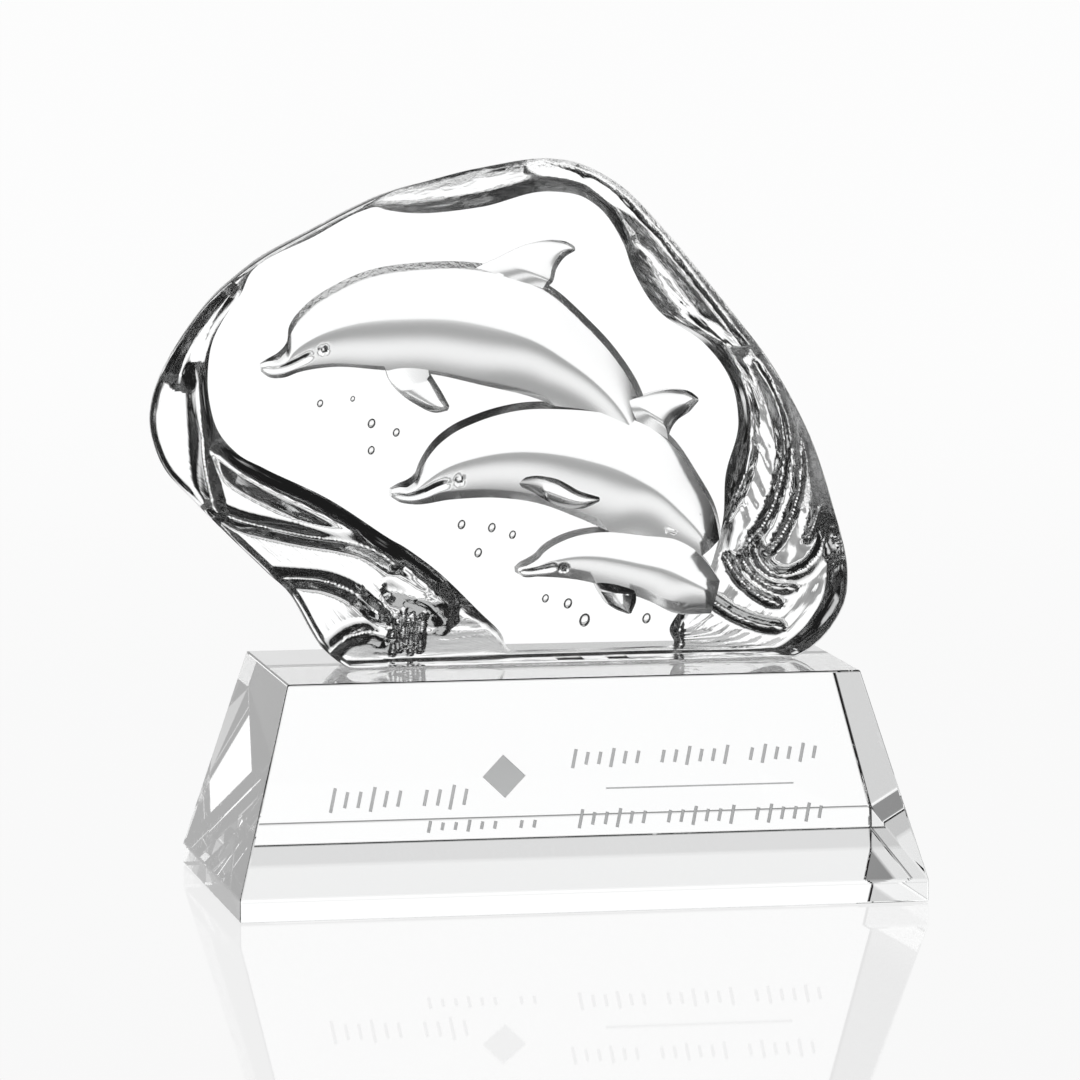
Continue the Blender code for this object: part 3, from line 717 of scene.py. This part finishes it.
def make_body(name, group, materials, upper, lower, floor, dome, wall, eye, mouth, along, across):
    """A cutter for a dolphin's body: a domed floor, a sloping wall along its back, an eye and a mouth."""
    top = smooth_curve(upper, along + 1, crowd=HEAD_FIRST)
    bottom = smooth_curve(lower, along + 1, crowd=HEAD_FIRST)
    girth = np.linalg.norm(top - bottom, axis=1)
    started = np.minimum(1.0, np.arange(along + 1) / along * BACK_WALL_START)
    slope = np.minimum(wall, BACK_WALL_SHARE * girth) * started
    floor_rows = across - WALL_ROWS
    mesh = bmesh.new()
    bmesh.ops.create_grid(mesh, x_segments=along, y_segments=across, size=0.5)
    spots = {}
    for vert in mesh.verts:
        spots[vert] = round((vert.co.x + 0.5) * along), round((vert.co.y + 0.5) * across)
    for face in mesh.faces:
        face.smooth = True
        if min(spots[vert][1] for vert in face.verts) >= floor_rows:
            face.material_index = 1
    place = np.array(list(spots.values()))
    step, row = place[:, 0], place[:, 1]
    reach = 1 - slope[step] / girth[step]
    on_floor = np.minimum(row / floor_rows, 1.0)
    spread = 0.5 - 0.5 * np.cos(np.pi * on_floor)
    up_wall = np.clip((row - floor_rows) / WALL_ROWS, 0.0, 1.0)
    side = spread * reach + up_wall * (1 - reach)
    x, z = (bottom[step] + (top[step] - bottom[step]) * side[:, None]).T
    swell = np.where(
        spread < DEEPEST_SHARE, spread / DEEPEST_SHARE, (1 - spread) / (1 - DEEPEST_SHARE))
    swell = (1 - (1 - swell) ** DOME_POWER) * girth[step] / girth.max()
    sunk = floor + dome * swell
    sunk = sunk * (1 - BACK_WALL_RISE * up_wall)
    depth = full_thickness(x, z) * (1 - sunk)
    on_skin = (up_wall == 0) * np.minimum(1.0, swell * SKIN_START)
    depth -= on_skin * line_rise(x, z, *MOUTH, mouth)
    ring = np.hypot(x - eye[0], (z - eye[1]) * EYE_STRETCH) / EYE_RADIUS
    lid = np.exp(-((ring - LID_RING) * LID_SHARPNESS) ** 2)
    pupil = PUPIL_DEPTH * np.exp(-(ring * PUPIL_SHARPNESS) ** 2)
    depth += on_skin * EYE_DEPTH * (lid - pupil)
    points = slab_points(x, z, depth)
    for vert, point in zip(spots, points):
        vert.co = point
    extrude_out(mesh)
    cutter = add_object(name, mesh)
    for material in materials:
        cutter.data.materials.append(material)
    move_to(cutter, group)


def make_fin(name, group, material, leading, trailing, deep):
    """A cutter for a fin, with an almost flat floor and straight walls."""
    first = smooth_curve(leading, FIN_ALONG + 1)
    last = smooth_curve(trailing, FIN_ALONG + 1)
    mesh = bmesh.new()
    bmesh.ops.create_grid(mesh, x_segments=FIN_ALONG, y_segments=FIN_ACROSS, size=0.5)
    for vert in mesh.verts:
        step = round((vert.co.x + 0.5) * FIN_ALONG)
        side = 0.5 - 0.5 * math.cos(math.pi * (vert.co.y + 0.5))
        x, z = last[step] + (first[step] - last[step]) * side
        sunk = deep + FIN_HOLLOW * (1 - (2 * side - 1) ** 2)
        sunk *= FIN_BASE + (1 - FIN_BASE) * min(1.0, step / FIN_ALONG / FIN_RISE)
        vert.co = slab_points(x, z, full_thickness(x, z) * (1 - sunk))
    for face in mesh.faces:
        face.smooth = True
    extrude_out(mesh)
    cutter = add_object(name, mesh)
    cutter.data.materials.append(material)
    move_to(cutter, group)


def make_block(material):
    """A block with a short upright foot, four sloping sides and fine polished arrises."""
    wide, deep, tall = BASE_HIGH - BASE_LOW
    mesh = bmesh.new()
    bmesh.ops.create_cube(mesh, size=1.0)
    bmesh.ops.scale(mesh, vec=(wide, deep, FOOT_HEIGHT), verts=mesh.verts)
    bmesh.ops.translate(mesh, vec=(0, 0, BASE_LOW.z + FOOT_HEIGHT / 2), verts=mesh.verts)
    foot_top = [face for face in mesh.faces if face.normal.z > 0.5]
    raised = bmesh.ops.extrude_face_region(mesh, geom=foot_top)["geom"]
    bmesh.ops.delete(mesh, geom=foot_top, context="FACES_ONLY")
    top = [part for part in raised if isinstance(part, bmesh.types.BMVert)]
    bmesh.ops.translate(mesh, vec=(0, 0, tall - FOOT_HEIGHT), verts=top)
    shrink = (1 - 2 * END_INSET / wide, 1 - 2 * FACE_INSET / deep, 1)
    bmesh.ops.scale(mesh, vec=shrink, verts=top)
    bmesh.ops.bevel(
        mesh, geom=mesh.edges, offset=BASE_ARRIS, segments=3, profile=0.5, affect="EDGES", material=-1)
    bmesh.ops.recalc_face_normals(mesh, faces=mesh.faces)
    for face in mesh.faces:
        face.smooth = True
    block = add_object("polished_block", mesh)
    block.data.materials.append(material)
    return block


def on_block_front(x_share, z_share):
    """The place and tilt of a point on the sloping front of the block."""
    wide, deep, tall = BASE_HIGH - BASE_LOW
    height = z_share * tall
    run = tall - FOOT_HEIGHT
    y = FACE_INSET * (height - FOOT_HEIGHT) / run - deep / 2
    tilt = Matrix.Rotation(-math.atan2(FACE_INSET, run), 4, "X")
    return Matrix.Translation((x_share * wide, y, BASE_LOW.z + height)) @ tilt


def add_stroke(mesh, x_share, z_share, width, height, lean):
    """Adds one stroke, which leans on the sloping front, to the cutter."""
    place = on_block_front(x_share, z_share) @ Matrix.Rotation(lean, 4, "Y")
    size = Matrix.Diagonal((width, 2 * STROKE_DEPTH, height, 1.0))
    bmesh.ops.create_cube(mesh, size=1.0, matrix=place @ size)


def make_strokes(group, material):
    """Rows of leaning strokes, a divider and a lozenge where an award carries its inscription."""
    wide, deep, tall = BASE_HIGH - BASE_LOW
    mesh = bmesh.new()
    for start, end, middle, share in STROKE_ROWS:
        count = int((end - start) * wide / STROKE_PITCH)
        for step in range(count):
            if step % STROKES_IN_GROUP == STROKES_IN_GROUP - 1:
                continue
            x_share = start + (end - start) * (step + 0.5) / count
            height = share * tall * (1.0 if step % TALL_STROKE_EVERY == 0 else SHORT_STROKE)
            add_stroke(mesh, x_share, middle, STROKE_WIDTH, height, STROKE_LEAN)
    start, end, middle, share = DIVIDER
    add_stroke(mesh, (start + end) / 2, middle, (end - start) * wide, share * tall, 0.0)
    x_share, middle, share = LOZENGE
    side = share * tall / math.sqrt(2)
    add_stroke(mesh, x_share, middle, side, side, math.radians(45))
    cutter = add_object("strokes", mesh)
    cutter.data.materials.append(material)
    move_to(cutter, group)


def make_droplets(group, material):
    """Small egg-shaped hollows scattered round the dolphins."""
    mesh = bmesh.new()
    for x, z, radius in DROPLETS:
        place = Matrix.Translation(slab_points(x, z, full_thickness(x, z)))
        place @= Matrix.Rotation(DROPLET_LEAN, 4, "Y") @ Matrix.Scale(DROPLET_STRETCH, 4, (0, 0, 1))
        bmesh.ops.create_uvsphere(
            mesh, u_segments=DROPLET_SIDES, v_segments=DROPLET_RINGS, radius=radius * UNIT, matrix=place)
    for face in mesh.faces:
        face.smooth = True
    cutter = add_object("droplets", mesh)
    cutter.data.materials.append(material)
    move_to(cutter, group)


def move_to(thing, group):
    """Moves an object out of the scene's collection into the group of cutters."""
    bpy.context.scene.collection.objects.unlink(thing)
    group.objects.link(thing)


def cut_away(thing, group):
    """Takes every object of the group out of the thing, and removes the group."""
    cut = thing.modifiers.new("hollows", "BOOLEAN")
    cut.operation = "DIFFERENCE"
    cut.solver = "EXACT"
    cut.operand_type = "COLLECTION"
    cut.collection = group
    cut.material_mode = "TRANSFER"
    graph = bpy.context.evaluated_depsgraph_get()
    cut_mesh = bpy.data.meshes.new_from_object(thing.evaluated_get(graph))
    thing.modifiers.clear()
    thing.data = cut_mesh
    for cutter in list(group.objects):
        bpy.data.objects.remove(cutter, do_unlink=True)
    bpy.data.collections.remove(group)
    thing.data.set_sharp_from_angle(angle=SMOOTH_ANGLE)
    for face in thing.data.polygons:
        face.use_smooth = face.area < FLAT_AREA


class AWARD_OT_stage(bpy.types.Operator):
    """Make the studio: white softboxes, a pale floor and the camera"""
    bl_idname = "award.stage"
    bl_label = "Make Stage"

    def execute(self, context):
        stage = context.scene.award_stage
        make_world(stage)
        make_floor(stage)
        make_camera(stage)
        context.scene.view_settings.view_transform = "Standard"
        context.scene.cycles.max_bounces = BOUNCES
        context.scene.cycles.glossy_bounces = CRYSTAL_BOUNCES
        context.scene.cycles.transmission_bounces = CRYSTAL_BOUNCES
        return {"FINISHED"}


class AWARD_OT_sculpture(bpy.types.Operator):
    """Make the crystal slab with its water rim, dolphins and droplets"""
    bl_idname = "award.sculpture"
    bl_label = "Make Sculpture"

    def execute(self, context):
        crystal = context.scene.award_crystal
        polished = crystal_material("polished_crystal", crystal, crystal.polish)
        carved = crystal_material("carved_crystal", crystal, crystal.polish)
        add_bump(carved, "UV", *CARVED_BUMP)
        beaded = crystal_material("beaded_crystal", crystal, crystal.polish)
        add_bump(beaded, "Object", *BEADED_BUMP)
        satin = crystal_material("satin_crystal", crystal, crystal.satin)
        rough = crystal_material("rough_crystal", crystal, crystal.rough)
        add_bump(rough, "Object", *ROUGH_BUMP)
        slab = make_slab_body([polished, carved, beaded])
        group = bpy.data.collections.new("slab_cutters")
        context.scene.collection.children.link(group)
        for name, shape in DOLPHINS.items():
            make_body(name, group, (satin, rough), *shape)
        for name, shape in FINS.items():
            make_fin(name, group, satin, *shape)
        make_droplets(group, polished)
        cut_away(slab, group)
        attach(slab, BODY)
        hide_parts("dolphin_crystal")
        return {"FINISHED"}


class AWARD_OT_base(bpy.types.Operator):
    """Make the crystal block with its engraved strokes"""
    bl_idname = "award.base"
    bl_label = "Make Block"

    def execute(self, context):
        crystal = context.scene.award_crystal
        clear = crystal_material("block_crystal", crystal, crystal.polish)
        frosted = crystal_material("frosted_painted_shade_crystal", crystal, crystal.frost)
        # The strokes are rough frosted crystal, and their grey tint is painted shade
        frosted.node_tree.nodes["Principled BSDF"].inputs["Base Color"].default_value = STROKE_PAINTED_SHADE
        block = make_block(clear)
        group = bpy.data.collections.new("block_cutters")
        context.scene.collection.children.link(group)
        make_strokes(group, frosted)
        cut_away(block, group)
        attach(block, BODY)
        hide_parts("crystal_base")
        return {"FINISHED"}


class AWARD_PT_panel(bpy.types.Panel):
    bl_label = "Award"
    bl_space_type = "VIEW_3D"
    bl_region_type = "UI"
    bl_category = "Award"

    def draw(self, context):
        for operator in (AWARD_OT_stage, AWARD_OT_base, AWARD_OT_sculpture):
            self.layout.operator(operator.bl_idname)
        for settings in (context.scene.award_stage, context.scene.award_crystal):
            for name in settings.bl_rna.properties.keys():
                if name not in ("rna_type", "name"):
                    self.layout.prop(settings, name)


CLASSES = (AwardStage, AwardCrystal, AWARD_OT_stage, AWARD_OT_sculpture, AWARD_OT_base, AWARD_PT_panel)


def register():
    for item in CLASSES:
        bpy.utils.register_class(item)
    bpy.types.Scene.award_stage = bpy.props.PointerProperty(type=AwardStage)
    bpy.types.Scene.award_crystal = bpy.props.PointerProperty(type=AwardCrystal)


def unregister():
    del bpy.types.Scene.award_stage
    del bpy.types.Scene.award_crystal
    for item in reversed(CLASSES):
        bpy.utils.unregister_class(item)


def main():
    register()
    bpy.ops.award.stage()
    bpy.ops.award.base()
    bpy.ops.award.sculpture()


if __name__ == "__main__":
    main()
